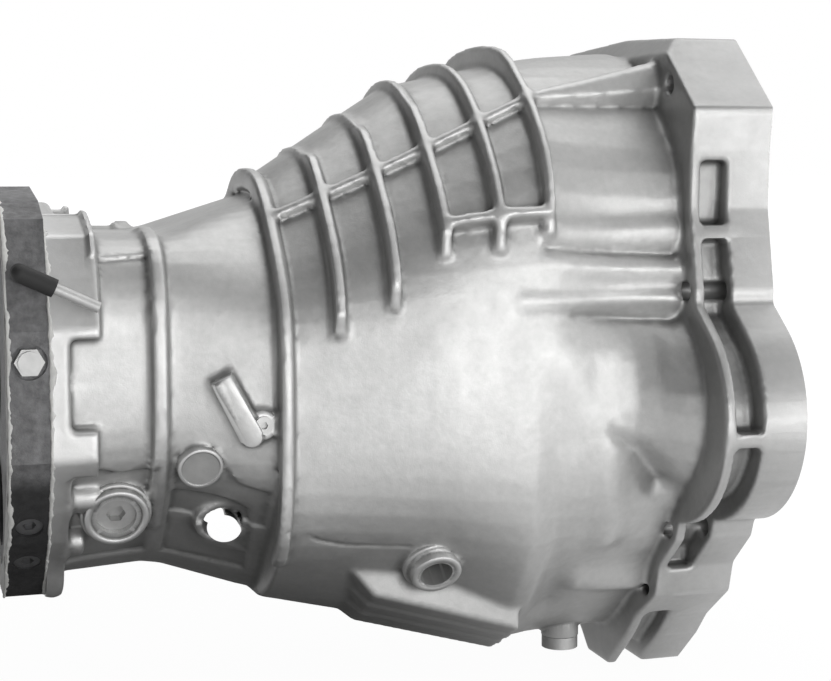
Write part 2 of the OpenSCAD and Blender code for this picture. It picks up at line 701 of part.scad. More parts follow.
module input_snap_ring() color("gray") turned(input_front) polygon([[input_outer_r - 1.8, 0],
    [snap_r, 0], [snap_r, snap_w], [input_outer_r - 1.8, snap_w]]);

// Ball bearing rings: the groove is wider than the ball by the running clearance
input_pitch = (input_outer_r + input_inner_r) / 2;
input_land = 3.2;
module ring_profile(r0, r1, w) translate([r0, 0]) square([r1 - r0, w]);
module groove(pitch, r, w) translate([pitch, w / 2]) circle(r = r + run_gap, $fn = 48);

module input_bearing_outer() color("silver") turned(input_rear) difference() {
    ring_profile(input_pitch + input_land, input_outer_r, input_brg_w);
    groove(input_pitch, input_ball_r, input_brg_w);
    translate([input_outer_r - 2, input_brg_w - snap_w - 1.2]) square([3, snap_w + 0.2]);
}

module input_bearing_inner() color("silver") turned(input_rear) difference() {
    ring_profile(input_inner_r, input_pitch - input_land, input_brg_w);
    groove(input_pitch, input_ball_r, input_brg_w);
}

module input_bearing_balls() color("white") for (a = turn(input_balls_n))
    translate([input_rear + input_brg_w / 2, input_pitch * cos(a), input_pitch * sin(a)])
        sphere(r = input_ball_r, $fn = 48);

module input_bearing_cage() color("goldenrod") difference() {
    turned(input_rear) translate([0, input_brg_w / 2 - 6.5]) ring_profile(input_pitch - 1.2,
        input_pitch + 1.2, 13);
    for (a = turn(input_balls_n)) bar_out([input_rear + input_brg_w / 2, 0, 0], a, input_pitch - 3,
        input_pitch + 3, input_ball_r + run_gap);
}

// Countershaft roller bearing: the shaft's journal is its inner ring
roller_pitch = counter_inner_r + roller_r;
counter_rear = counter_front - counter_w;
module counter_bearing_outer() color("silver") turned(counter_rear, 0, -counter_drop) difference() {
    ring_profile(roller_pitch + roller_r - 0.6, counter_outer_r, counter_w);
    translate([0, 2]) ring_profile(0, roller_pitch + roller_r + run_gap, counter_w - 4);
}

module counter_bearing_rollers() color("white") for (a = turn(rollers_n))
    bar_x(counter_rear + 2.3, counter_w - 4.6, roller_r, roller_pitch * cos(a),
        roller_pitch * sin(a) - counter_drop, $fn = 32);

module counter_bearing_cage() color("goldenrod") difference() {
    turned(counter_rear, 0, -counter_drop) translate([0, 0.5])
        ring_profile(roller_pitch - 1.5, roller_pitch + 1.5, counter_w - 1);
    for (a = turn(rollers_n))
        bar_x(counter_rear + 2, counter_w - 4, roller_r + run_gap, roller_pitch * cos(a),
            roller_pitch * sin(a) - counter_drop, $fn = 32);
}

// Clutch release: a ball stud, a fork on it, a hub on the guide sleeve and a thrust bearing
pivot_x = bulkhead_x + pivot_boss_l + 13;
module fork_pivot() color("silver") {
    bar_x(bulkhead_x + pivot_boss_l - stud_l + 1, stud_l - 1, stud_r, pivot_out, 0, $fn = 32);
    bar_x(bulkhead_x + pivot_boss_l, 4, stud_r + 4, pivot_out, 0, $fn = 6);
    bar_x(bulkhead_x + pivot_boss_l + 3, pivot_x - bulkhead_x - pivot_boss_l - 3, stud_r, pivot_out, 0,
        $fn = 32);
    translate([pivot_x, pivot_out, 0]) sphere(r = pivot_ball_r, $fn = 48);
}

fork_back = pivot_x + 3;
fork_front = fork_back + fork_t;
claw_r = hub_r + 2;
claw_w = 12;
pad_r = 6;
pad_x = fork_front - pad_r + 3.5;
tip_half = 11;
module fork_outline() difference() {
    union() {
        circle(r = claw_r + claw_w);
        polygon([[0, claw_r + claw_w], [52, 22], [fork_reach - 14, tip_half], [fork_reach, tip_half - 4],
            [fork_reach, 4 - tip_half], [fork_reach - 14, -tip_half], [52, -22], [0, -claw_r - claw_w]]);
    }
    circle(r = claw_r);
    translate([-80, -claw_r]) square([80, 2 * claw_r]);
    translate([-90, -60]) square([80, 120]);
}

module clutch_fork() color("darkgray") difference() {
    union() {
        across(fork_back, fork_t) fork_outline();
        for (s = [-1, 1]) translate([pad_x, 0, s * (claw_r + claw_w / 2)])
            cylinder(h = claw_w, r = pad_r, center = true, $fn = 48);
    }
    translate([pivot_x, pivot_out, 0]) sphere(r = pivot_ball_r + run_gap, $fn = 48);
    translate([fork_front + 3, fork_reach - 12, 0]) sphere(r = 7, $fn = 48);
}

// Rubber boot over the fork window, held by a screw at each corner
boot_t = 3;
boot_h = 12;
boot_screw_r = 2.5;
boot_half_x = window_half_x + 7;
boot_half_z = window_half_z + 8;
boot_holes = [for (sx = [-1, 1], sz = [-1, 1])
    [window_x + sx * (boot_half_x - 4), sz * (boot_half_z - 4)]];
slot_rear = fork_back - (window_face + boot_h - pivot_out) * sin(fork_swing) - 1;
slot_front = fork_front + 1;
module boot_box(y, h, grow) translate([window_x - window_half_x - grow, y, -window_half_z + 3 - grow])
    cube([2 * (window_half_x + grow), h, 2 * (window_half_z - 3 + grow)]);

module fork_boot() color("dimgray") difference() {
    union() {
        translate([window_x - boot_half_x, window_face + 0.1, -boot_half_z])
            cube([2 * boot_half_x, boot_t, 2 * boot_half_z]);
        boot_box(window_face + 0.1, boot_h, 1);
        boot_box(window_face + 5, 2.5, 3);
        boot_box(window_face + 9, 2.5, 2);
    }
    boot_box(window_face - 1, boot_h - 1, -2);
    translate([slot_rear, window_face - 1, -tip_half - 4]) cube([slot_front - slot_rear, 20,
        2 * tip_half + 8]);
    for (p = boot_holes) bar_out([p[0], window_face, p[1]], 0, -1, 5, boot_screw_r + 0.2);
}

module boot_screws() color("gray") for (p = boot_holes) {
    bar_out([p[0], window_face, p[1]], 0, -9, boot_t + 0.1, boot_screw_r, $fn = 32);
    bar_out([p[0], window_face, p[1]], 0, boot_t + 0.1, boot_t + 1.8, boot_screw_r * 1.8, $fn = 32);
}

hub_rear = pad_x + pad_r + run_gap - 4;
ear_t = 6;
nose_l = 16;
module release_hub() color("silver") difference() {
    union() {
        bar_x(hub_rear, hub_l - nose_l, hub_r);
        bar_x(hub_rear, hub_l, hub_r - 1);
        for (s = [-1, 1]) translate([pad_x + pad_r + run_gap, -7, s > 0 ? hub_r - 4 : -hub_r - 14])
            cube([ear_t, 14, 18]);
    }
    bar_x(hub_rear - 1, hub_l + 2, sleeve_r + fit_gap);
}

release_w = 14;
release_rear = hub_rear + hub_l - nose_l + 0.5;
release_ball_r = 3.5;
release_pitch = 30;
release_land = 2.2;
release_balls_n = 14;
module release_bearing_race() color("silver") turned(release_rear) difference() {
    ring_profile(hub_r - 1 + fit_gap, release_pitch - release_land, release_w);
    groove(release_pitch, release_ball_r, release_w);
}

module release_bearing_balls() color("white") for (a = turn(release_balls_n))
    translate([release_rear + release_w / 2, release_pitch * cos(a), release_pitch * sin(a)])
        sphere(r = release_ball_r, $fn = 32);

module release_bearing_ring() color("silver") turned(release_rear) {
    difference() {
        union() {
            ring_profile(release_pitch + release_land, release_r, release_w + 2 * run_gap);
            translate([0, release_w + run_gap]) ring_profile(sleeve_r + 6, release_r, 3);
        }
        groove(release_pitch, release_ball_r, release_w);
    }
}

front_case();
case_gasket();
adapter_plate();
rear_gasket();
case_dowels();
side_plug();
detent_plugs();
vent_hose();
vent_pipe();
filler_plug();
drain_plug();
lug_screw();
front_retainer();
retainer_gasket();
retainer_bolts();
input_seal();
input_snap_ring();
input_bearing_outer();
input_bearing_inner();
input_bearing_balls();
input_bearing_cage();
counter_bearing_outer();
counter_bearing_rollers();
counter_bearing_cage();
fork_pivot();
clutch_fork();
fork_boot();
boot_screws();
release_hub();
release_bearing_race();
release_bearing_balls();
release_bearing_ring();
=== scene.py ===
"""Looks of the gearbox front case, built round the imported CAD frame. Lengths in metres."""
import json
import math

import bmesh
import bpy
import numpy as np
from mathutils import Matrix, Vector


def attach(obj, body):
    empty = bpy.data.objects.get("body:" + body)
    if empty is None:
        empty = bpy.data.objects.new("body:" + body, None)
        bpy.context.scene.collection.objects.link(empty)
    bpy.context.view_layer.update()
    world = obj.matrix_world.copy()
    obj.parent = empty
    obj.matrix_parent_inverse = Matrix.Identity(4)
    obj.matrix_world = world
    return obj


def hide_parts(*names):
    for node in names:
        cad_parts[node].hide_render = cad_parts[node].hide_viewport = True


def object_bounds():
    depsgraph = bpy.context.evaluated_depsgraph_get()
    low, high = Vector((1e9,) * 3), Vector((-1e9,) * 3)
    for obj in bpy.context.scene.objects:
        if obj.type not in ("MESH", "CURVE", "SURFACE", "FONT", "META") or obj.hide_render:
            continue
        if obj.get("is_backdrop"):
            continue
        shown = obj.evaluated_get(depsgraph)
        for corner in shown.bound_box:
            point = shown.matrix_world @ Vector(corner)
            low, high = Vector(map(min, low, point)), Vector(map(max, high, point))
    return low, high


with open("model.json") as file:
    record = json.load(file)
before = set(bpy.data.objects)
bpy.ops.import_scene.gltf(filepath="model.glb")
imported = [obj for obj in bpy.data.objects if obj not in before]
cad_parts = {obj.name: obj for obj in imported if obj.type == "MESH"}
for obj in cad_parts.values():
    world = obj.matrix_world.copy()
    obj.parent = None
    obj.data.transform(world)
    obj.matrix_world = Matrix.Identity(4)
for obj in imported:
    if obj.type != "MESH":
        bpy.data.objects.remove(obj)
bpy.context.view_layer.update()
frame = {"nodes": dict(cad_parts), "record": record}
scene = bpy.context.scene
scene.view_settings.view_transform = "Standard"
MM = 0.001

# Camera
AZIMUTH, ELEVATION = math.radians(-17.0), math.radians(6.0)
TARGET = Vector((-0.175, 0.0, 0.007))
DISTANCE = 1.072
SENSOR_WIDTH, FOCAL_LENGTH = 36.0, 74.3
view_dir = Vector((-math.sin(AZIMUTH) * math.cos(ELEVATION),
                   math.cos(AZIMUTH) * math.cos(ELEVATION),
                   -math.sin(ELEVATION)))
cam_data = bpy.data.cameras.new("camera")
cam_data.sensor_width = SENSOR_WIDTH
cam_data.lens = FOCAL_LENGTH
camera = bpy.data.objects.new("camera", cam_data)
scene.collection.objects.link(camera)
camera.location = TARGET - view_dir * DISTANCE
camera.rotation_euler = view_dir.to_track_quat("-Z", "Y").to_euler()
scene.camera = camera

# Numbers shared with the CAD, in mm
CASE_LEN = 408
FLANGE_T = 50
# Bolt holes of the near half as y and z, and the rear ones' depth
ENGINE_HOLES = ((96, 163), (122, 44), (104, -99), (70, -139))
ENGINE_HOLE_R = 5.5
REAR_HOLES = ((50, 84, 23), (102, 34, 23), (102, -30, 8), (86, -63.5, 8), (45, -107, 8))
REAR_HOLE_R = 4.5
DOWEL_Y, DOWEL_Z = 103, 2
DOWEL_HOLE_R, DOWEL_HOLE_DEPTH = 4.05, 10
# Corners of the joint round its side holes, filled before the remesh, as y and z
HOLE_PATCHES = (((109.6, 29.5), (106.4, 39.5), (96, 39.5), (96, 29.5)),
                ((109.6, -24), (109.6, -36), (96, -36), (96, -24)))
PATCH_DEPTH = 24
# Seats and holes of the bulkhead: from, to, radius, y, z
SEATS = (
    (-215.5, -192.5, 40.05, 0, 0),
    (-222, -193, 36, 0, 0),
    (-197.6, -193.6, 44.5, 0, 0),
    (-222, -193, 26.05, 0, -78),
    (-205, -188, 5.05, 76, 0),
)
# Corners of the box that cuts the fork's window, in metres
WINDOW = ((-0.190, 0.090, -0.023), (-0.152, 0.150, 0.023))
PORTS = (  # face centre, facing angle, from, to, radius
    ((-372.2, -82.6, -77.5), 204, -30, 12, 11.05),
    ((-311, -71.5, -88.7), 216, -30, 12, 11.0),
    ((-288.5, 50.5, -115.5), 345, -25, 25, 15.0),
    ((-192.6, -99.8, -117.9), 216, -15, 12, 9.5),
    ((-83, -16, -184), 270, -30, 0.05, 8.55),
    ((-295, -104, -25), 180, -8, 6, 5.05),
)
# Oval way in one line through the open port and the far one: from, to, half width and half height
SIGHT = ((-317.5, -110.0, -80.0), (-279.0, 100.0, -126.4), (10.0, 8.4))
# How far a cutter stands out of the face it cuts
CUT = 1


# Sockets of the Mix node in its colour mode: two inputs and the output
COLOUR_A, COLOUR_B, COLOUR_OUT = 6, 7, 2


class Nodes:
    """Short way to build a node tree."""

    def __init__(self, name):
        self.mat = bpy.data.materials.new(name)
        self.mat.use_nodes = True
        self.tree = self.mat.node_tree
        self.tree.nodes.clear()
        self.out = self.add("ShaderNodeOutputMaterial")

    def add(self, kind, **settings):
        node = self.tree.nodes.new(kind)
        for key, value in settings.items():
            setattr(node, key, value)
        return node

    def link(self, a, b):
        self.tree.links.new(a, b)

    def noise(self, coord, scale, detail=4.0, rough=0.55):
        n = self.add("ShaderNodeTexNoise")
        n.inputs["Scale"].default_value = scale
        n.inputs["Detail"].default_value = detail
        n.inputs["Roughness"].default_value = rough
        self.link(coord, n.inputs["Vector"])
        return n.outputs["Fac"]

    def ramp(self, fac, stops):
        r = self.add("ShaderNodeValToRGB")
        e = r.color_ramp.elements
        while len(e) < len(stops):
            e.new(0.5)
        for k, (pos, value) in enumerate(stops):
            e[k].position = pos
            e[k].color = (*value, 1.0) if isinstance(value, tuple) else (value, value, value, 1.0)
        self.link(fac, r.inputs["Fac"])
        return r.outputs["Color"]

    def mix(self, kind, fac, a, b):
        m = self.add("ShaderNodeMix", data_type="RGBA", blend_type=kind)
        sockets = (m.inputs["Factor"], m.inputs[COLOUR_A], m.inputs[COLOUR_B])
        for value, socket in zip((fac, a, b), sockets):
            if isinstance(value, (int, float)):
                socket.default_value = value
            elif isinstance(value, tuple):
                socket.default_value = (*value, 1.0)
            else:
                self.link(value, socket)
        return m.outputs[COLOUR_OUT]

    def times(self, a, b):
        m = self.add("ShaderNodeMath", operation="MULTIPLY")
        self.link(a, m.inputs[0])
        self.link(b, m.inputs[1])
        return m.outputs[0]

    def span(self, value, low, high, to_low, to_high):
        m = self.add("ShaderNodeMapRange", interpolation_type="SMOOTHSTEP")
        for name, number in zip(("From Min", "From Max", "To Min", "To Max"), (low, high, to_low, to_high)):
            m.inputs[name].default_value = number
        self.link(value, m.inputs["Value"])
        return m.outputs["Result"]

    def rays(self, names):
        """1 where the ray is of one of the named kinds."""
        path = self.add("ShaderNodeLightPath")
        total = path.outputs[names[0]]
        for name in names[1:]:
            more = self.add("ShaderNodeMath", operation="MAXIMUM")
            self.link(total, more.inputs[0])
            self.link(path.outputs[name], more.inputs[1])
            total = more.outputs[0]
        return total

    def bump(self, height, strength, distance, normal=None):
        b = self.add("ShaderNodeBump")
        b.inputs["Strength"].default_value = strength
        b.inputs["Distance"].default_value = distance
        self.link(height, b.inputs["Height"])
        if normal is not None:
            self.link(normal, b.inputs["Normal"])
        return b.outputs["Normal"]


# Noise scales of the patches, the mottle and the roughness
PATCH_SCALE, MOTTLE_SCALE, ROUGH_SCALE = 14.0, 230.0, 55.0
# Ramps as (place, value): noise to patch tone and to mottle tone, and pointiness to the tone of the dirt
# and painted shade in creases
PATCH_RAMP = ((0.35, 0.45), (0.65, 1.0))
MOTTLE_RAMP = ((0.3, 0.4), (0.7, 1.0))
CREASE_DIRT_AND_SHADE_RAMP = ((0.44, 0.25), (0.50, 1.0))
# Pointiness at which the edge wear and painted highlight on crests start and are full
WEAR_HIGHLIGHT_FROM, WEAR_HIGHLIGHT_TO = 0.505, 0.56
WEAR_HIGHLIGHT_TONE = (0.5, 0.5, 0.5)
LOWER_TONE = (0.22, 0.22, 0.22)


def surface(name, tone, metal, rough, grain=None, mottle=0.12, patch=0.1, wear_and_crest_highlight=0.0, crease_dirt_and_shade=0.0,
            rough_var=0.1, coarse=None, darker_below=None, painted_flange_shade=None):
    """Procedural surface: tone, patches and mottle, edge wear with a painted highlight on crests and dirt
    with painted shade in creases, both from pointiness, and bumps.

    darker_below: the heights at which the darkening towards the bottom is full and at which it has ended.
    painted_flange_shade: where along X the painted shade on the flange starts and where it is full, and the
    share of the tone it keeps.
    """
    n = Nodes(name)
    coord = n.add("ShaderNodeTexCoord").outputs["Object"]
    shader = n.add("ShaderNodeBsdfPrincipled")
    shader.inputs["Metallic"].default_value = metal
    colour = n.mix("MULTIPLY", patch, tone, n.ramp(n.noise(coord, PATCH_SCALE), PATCH_RAMP))
    colour = n.mix("MULTIPLY", mottle, colour, n.ramp(n.noise(coord, MOTTLE_SCALE, 6.0), MOTTLE_RAMP))
    if wear_and_crest_highlight or crease_dirt_and_shade:
        point = n.add("ShaderNodeNewGeometry").outputs["Pointiness"]
        # Pointiness darkens creases: dirt and painted shade.
        if crease_dirt_and_shade:
            colour = n.mix("MULTIPLY", crease_dirt_and_shade, colour, n.ramp(point, CREASE_DIRT_AND_SHADE_RAMP))
        # Pointiness lightens edges: wear and a painted highlight on crests.
        if wear_and_crest_highlight:
            worn_highlight = n.ramp(point, ((WEAR_HIGHLIGHT_FROM, 0.0), (WEAR_HIGHLIGHT_TO, wear_and_crest_highlight)))
            colour = n.mix("SCREEN", worn_highlight, colour, WEAR_HIGHLIGHT_TONE)
    split = n.add("ShaderNodeSeparateXYZ")
    n.link(coord, split.inputs[0])
    # Painted shade: the tone is darkened on the flange from a given X on.
    if painted_flange_shade:
        start, end, share = painted_flange_shade
        painted_shade_mask = n.span(split.outputs["X"], start, end, 0.0, 1.0)
        colour = n.mix("MULTIPLY", painted_shade_mask, colour, (share, share, share))
    # Darker towards the bottom, below given heights.
    if darker_below:
        lower_mask = n.span(split.outputs["Z"], darker_below[0], darker_below[1], 1.0, 0.0)
        colour = n.mix("MULTIPLY", lower_mask, colour, LOWER_TONE)
    n.link(colour, shader.inputs["Base Color"])
    rough_map = n.add("ShaderNodeMapRange")
    rough_map.inputs["To Min"].default_value = rough - rough_var
    rough_map.inputs["To Max"].default_value = rough + rough_var
    n.link(n.noise(coord, ROUGH_SCALE, 5.0), rough_map.inputs["Value"])
    n.link(rough_map.outputs["Result"], shader.inputs["Roughness"])
    normal = None
    for step in (coarse, grain):
        if step:
            scale, strength, distance = step
            normal = n.bump(n.noise(coord, scale, 5.0, 0.6), strength, distance, normal)
    if normal is not None:
        n.link(normal, shader.inputs["Normal"])
    n.link(shader.outputs["BSDF"], n.out.inputs["Surface"])
    return n.mat


# Tone, metal share, roughness and further settings of each material
LOOKS = {
    # The casting's settings also paint shade in creases, highlights on crests and shade on the flange.
    "cast_aluminium": ((0.50, 0.50, 0.495), 0.72, 0.45, dict(
        grain=(1500.0, 0.22, 0.00025), coarse=(70.0, 0.25, 0.0012), mottle=0.16, patch=0.14,
        wear_and_crest_highlight=0.45, crease_dirt_and_shade=0.9, painted_flange_shade=(-0.056, -0.046, 0.76))),
    "machined": ((0.70, 0.70, 0.70), 0.85, 0.28, dict(grain=(900.0, 0.08, 0.0001), patch=0.06)),
    "plate_iron": ((0.27, 0.27, 0.275), 0.35, 0.62, dict(
        grain=(700.0, 0.6, 0.0006), mottle=0.75, patch=0.6, rough_var=0.15, darker_below=(-0.058, -0.046))),
    "joint_sheet": ((0.74, 0.74, 0.72), 0.0, 0.6, dict(grain=(400.0, 0.4, 0.0004), mottle=0.3)),
    "zinc_steel": ((0.54, 0.54, 0.535), 0.7, 0.52, dict(grain=(1200.0, 0.15, 0.0001), mottle=0.2)),
    "bearing_steel": ((0.74, 0.74, 0.75), 1.0, 0.16, dict(mottle=0.04, patch=0.04, rough_var=0.05)),
    "dark_steel": ((0.26, 0.26, 0.265), 0.8, 0.42, dict(grain=(900.0, 0.2, 0.0002), mottle=0.3)),
    "fork_steel": ((0.24, 0.24, 0.245), 0.7, 0.5, dict(grain=(600.0, 0.4, 0.0004), mottle=0.35)),
    "cage_brass": ((0.72, 0.55, 0.25), 0.9, 0.35, dict(mottle=0.12)),
    "black_rubber": ((0.022, 0.022, 0.022), 0.0, 0.68, dict(grain=(500.0, 0.3, 0.0003), mottle=0.3)),
    "paper_gasket": ((0.50, 0.42, 0.28), 0.0, 0.85, dict(grain=(900.0, 0.3, 0.0002))),
}
MATS = {name: surface(name, *look[:3], **look[3]) for name, look in LOOKS.items()}
NODE_MAT = {s["node"]: s["material_slot"] for s in frame["record"]["subparts"]}
for node_name, node_obj in frame["nodes"].items():
    node_obj.data.materials.clear()
    node_obj.data.materials.append(MATS[NODE_MAT[node_name]])


def link_mesh(name, data):
    obj = bpy.data.objects.new(name, data)
    scene.collection.objects.link(obj)
    return obj


def node_copy(node, name):
    """Welded copy of a CAD node's mesh as a new object."""
    obj = link_mesh(name, frame["nodes"][node].data.copy())
    bm = bmesh.new()
    bm.from_mesh(obj.data)
    bmesh.ops.remove_doubles(bm, verts=bm.verts, dist=2e-6)
    bm.to_mesh(obj.data)
    bm.free()
    return obj


def settle(obj, **mods):
    """Applies modifiers in order: name=(type, settings)."""
    for key, (kind, settings) in mods.items():
        m = obj.modifiers.new(key, kind)
        for attr, value in settings.items():
            setattr(m, attr, value)
    data = bpy.data.meshes.new_from_object(obj.evaluated_get(bpy.context.evaluated_depsgraph_get()))
    obj.modifiers.clear()
    old = obj.data
    obj.data = data
    bpy.data.meshes.remove(old)
    return obj


def add_cylinder(bm, start, direction, length, radius, sides=48):
    centre = Vector(start) + Vector(direction).normalized() * (length / 2)
    place = Matrix.Translation(centre) @ Vector(direction).to_track_quat("Z", "Y").to_matrix().to_4x4()
    bmesh.ops.create_cone(bm, cap_ends=True, segments=sides, radius1=radius, radius2=radius,
                          depth=length, matrix=place)


def add_box(bm, low, high):
    mid = [(a + b) / 2 for a, b in zip(low, high)]
    size = [b - a for a, b in zip(low, high)]
    bmesh.ops.create_cube(bm, size=1.0, matrix=Matrix.Translation(mid) @ Matrix.Diagonal((*size, 1.0)))


def mesh_of(bm, name):
    data = bpy.data.meshes.new(name)
    bmesh.ops.recalc_face_normals(bm, faces=bm.faces)
    bm.to_mesh(data)
    bm.free()
    return link_mesh(name, data)


def along(angle):
    return Vector((0, math.cos(math.radians(angle)), math.sin(math.radians(angle))))


def finish_piece(obj, body, mat, replaces=(), sharp=None):
    obj.data.materials.clear()
    obj.data.materials.append(mat)
    obj.data.shade_smooth()
    if sharp:
        obj.data.set_sharp_from_angle(angle=math.radians(sharp))
    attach(obj, body)
    if replaces:
        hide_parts(*replaces)
    return obj


# The casting, with its cast radii
VOXEL = 0.0017
MAX_FACES = 190000
SMOOTH_FACTOR = 0.5
SMOOTH_STEPS = 7
# The flange's near side stays crisper: where it starts along X and Y, and its share of the smoothing
CRISP_X, CRISP_Y, CRISP_SHARE = -0.049, -0.10, 0.35
# The two joint faces reach this much further until the smoothing is done, and are then cut flat
JOINT_SPARE = 0.007
FACE_BAND = 1e-5
TRIM_HALF = 0.3
SHARP_ANGLE = 50

# Soft grooves and swellings: path in mm, spread at its start and end, height at its start and end
STROKES = (
    (((-137, -127, 71), (-116, -124, 69), (-97, -121, 68), (-57, -119, 66.5)), (3.2, 3.8), (-2.0, -4.0)),
    (((-135, -125, 80), (-102, -119, 79), (-56, -115, 79)), (6.0, 7.0), (2.0, 4.0)),
    (((-120, -123, 31), (-86, -119, 29), (-70, -119, 27.5), (-56, -121, 26)), (3.4, 4.2), (-1.5, -4.0)),
    (((-150, -129, 40), (-103, -122, 39), (-56, -119, 38)), (6.0, 7.0), (1.5, 4.5)),
    (((-139, -130, 12), (-132, -130, -14), (-129, -130, -43), (-129, -127, -72), (-126, -113, -110),
      (-112, -66, -155)), (10.0, 14.0), (-0.5, -7.0)),
    (((-122, -129, 4), (-107, -128, -19), (-98, -127, -45), (-95, -122, -72), (-92, -108, -98)),
     (10.0, 12.0), (0.5, 5.0)),
    (((-97, -127, -35), (-80, -129, -47), (-64, -125, -67)), (4.0, 9.0), (-1.0, -7.0)),
    (((-98, -80, -130), (-74, -74, -133), (-54, -70, -134)), (11.0, 12.0), (6.0, 7.5)),
    (((-404, -42, -124), (-380, -45, -117), (-360, -47, -111)), (11.0, 8.0), (8.0, 0.5)),
    (((-281, -109, -86), (-262, -100, -93), (-246, -99, -97), (-209, -101, -100)), (1.3, 1.3),
     (-1.2, -0.6)),
)
# Radius in mm at which the fields' angles become lengths, and inside which they leave the casting alone
FIELD_ARC, FIELD_INNER = 100.0, 88.0
# Width of a field's sloping edge, and how far past its corners points are still looked at
FIELD_EDGE, FIELD_REACH = 2.4, 5
# Recessed or raised fields: corners as distance along the shaft in mm and angle round it, and height
FIELDS = (
    (((-342, 218.6), (-329, 218.5), (-317, 219.1), (-307, 220.7), (-298, 223.4), (-293.5, 237),
      (-293, 252), (-342, 252)), -2.0),
    (((-397, 206.3), (-389, 206), (-371, 209), (-355, 208), (-351, 206), (-351, 252), (-397, 252)), -2.4),
    (((-341, 203), (-322, 200), (-316.4, 204.3), (-313.4, 207.3), (-306, 212.5), (-295.5, 214),
      (-287.8, 214.8), (-287.8, 230), (-341, 230)), -1.6),
    (((-386, 36), (-354, 38), (-354, 142.5), (-386, 144.5)), 2.4),
)
# Turned bosses with crisp rims: face centre, facing angle, profile as (radius, height)
RIMS = (
    ((-372.2, -82.6, -77.5), 204,
     ((0, -18), (19.9, -18), (19.9, -4.8), (19.1, -4.0), (17.9, -4.0), (17.9, -0.7), (17.2, 0.1),
      (14.8, 0.1), (14.2, -0.6), (13.9, -1.8), (0, -1.8))),
    ((-328, -93, -47), 202,
     ((0, -18), (12.7, -18), (12.7, 5.4), (12.0, 6.2), (10.9, 6.2), (10.5, 5.7), (10.0, 5.68), (0, 5.66))),
    ((-192.6, -99.8, -117.9), 216,
     ((0, -18), (18.3, -18), (18.3, -6.9), (17.5, -6.0), (14.9, -6.0), (14.9, -0.7), (14.2, 0.1),
      (11.5, 0.1), (10.8, -0.6), (0, -0.6))),
    ((-295, -104, -25), 180, ((0, -8), (8.2, -8), (8.2, 4.4), (7.6, 5.1), (0, 5.1))),
    ((-83, -16, -184), 270, ((0, -12), (11.9, -12), (11.9, -0.6), (11.3, 0.05), (0, 0.05))),
)
# The long lug: centre, turns about X, Z and Y, half width, ends along it, depth from root to face, bevel
LUG_PLACE = (-308, -104, -16)
LUG_TURNS = ((5, "X"), (-14, "Z"), (62, "Y"))
LUG_HALF = 6.4
LUG_TOP, LUG_ROUND = -20, 16
LUG_ROOT, LUG_FACE = 6, -7.4
LUG_BEVEL = 1.3


def path_reach(points, path):
    """Distance of each point to a path, and how far along the path its nearest place lies, from 0 to 1."""
    best = np.full(len(points), 1e9)
    share = np.zeros(len(points))
    path = [np.array(q, float) for q in path]
    total = sum(np.linalg.norm(b - a) for a, b in zip(path[:-1], path[1:]))
    run = 0.0
    for a, b in zip(path[:-1], path[1:]):
        ab = b - a
        t = np.clip((points - a) @ ab / (ab @ ab), 0.0, 1.0)
        gap = np.linalg.norm(points - a - t[:, None] * ab, axis=1)
        closer = gap < best
        best[closer] = gap[closer]
        share[closer] = (run + t[closer] * np.linalg.norm(ab)) / total
        run += np.linalg.norm(ab)
    return best, share


def field_depth(flat, corners):
    """Distance into a closed outline, negative outside it."""
    inside = np.zeros(len(flat), bool)
    for a, b in zip(corners, corners[1:] + corners[:1]):
        low, high = (a, b) if a[1] < b[1] else (b, a)
        level = (flat[:, 1] >= low[1]) & (flat[:, 1] < high[1])
        side = low[0] + (flat[:, 1] - low[1]) * (high[0] - low[0]) / max(high[1] - low[1], 1e-9)
        inside ^= level & (flat[:, 0] < side)
    gap, _ = path_reach(flat, list(corners) + [corners[0]])
    return np.where(inside, gap, -gap)


def sculpt(obj):
    """Moves the casting's points out or in by the strokes and fields."""
    data = obj.data
    co = np.empty(len(data.vertices) * 3)
    data.vertices.foreach_get("co", co)
    points = co.reshape(-1, 3) * 1000.0
    radius = np.linalg.norm(points[:, 1:], axis=1)
    out = np.concatenate([np.zeros((len(points), 1)), points[:, 1:] / radius[:, None]], axis=1)
    shift = np.zeros(len(points))
    for path, spread, height in STROKES:
        gap, t = path_reach(points, path)
        wide = spread[0] + (spread[1] - spread[0]) * t
        shift += (height[0] + (height[1] - height[0]) * t) * np.exp(-(gap / wide) ** 2)
    angle = np.degrees(np.arctan2(points[:, 2], points[:, 1])) % 360.0
    flat = np.stack([points[:, 0], np.radians(angle) * FIELD_ARC], axis=1)
    for corners, height in FIELDS:
        outline = [(x, math.radians(a) * FIELD_ARC) for x, a in corners]
        low, high = min(c[0] for c in outline), max(c[0] for c in outline)
        near = (flat[:, 0] > low - FIELD_REACH) & (flat[:, 0] < high + FIELD_REACH) & (radius > FIELD_INNER)
        depth = field_depth(flat[near], outline)
        ramp = np.clip(depth / FIELD_EDGE + 0.5, 0.0, 1.0)
        shift[near] += height * ramp * ramp * (3.0 - 2.0 * ramp)
    data.vertices.foreach_set("co", ((points + out * shift[:, None]) * MM).ravel())
    data.update()


def turned(place, angle, profile, sides=72):
    """Closed turned solid on the casting."""
    bm = bmesh.new()
    axis = along(angle)
    side = Vector((1, 0, 0))
    third = axis.cross(side)
    rings = []
    for radius, height in profile:
        centre = (Vector(place) + axis * height) * MM
        if radius == 0:
            rings.append([bm.verts.new(centre)])
        else:
            rings.append([bm.verts.new(centre + (side * math.cos(t) + third * math.sin(t)) * radius * MM)
                          for t in (2 * math.pi * k / sides for k in range(sides))])
    for low, high in zip(rings[:-1], rings[1:]):
        for k in range(sides):
            n = k + 1
            corners = [low[k % len(low)], low[n % len(low)], high[n % len(high)], high[k % len(high)]]
            bm.faces.new(list(dict.fromkeys(corners)))
    return mesh_of(bm, "rim")


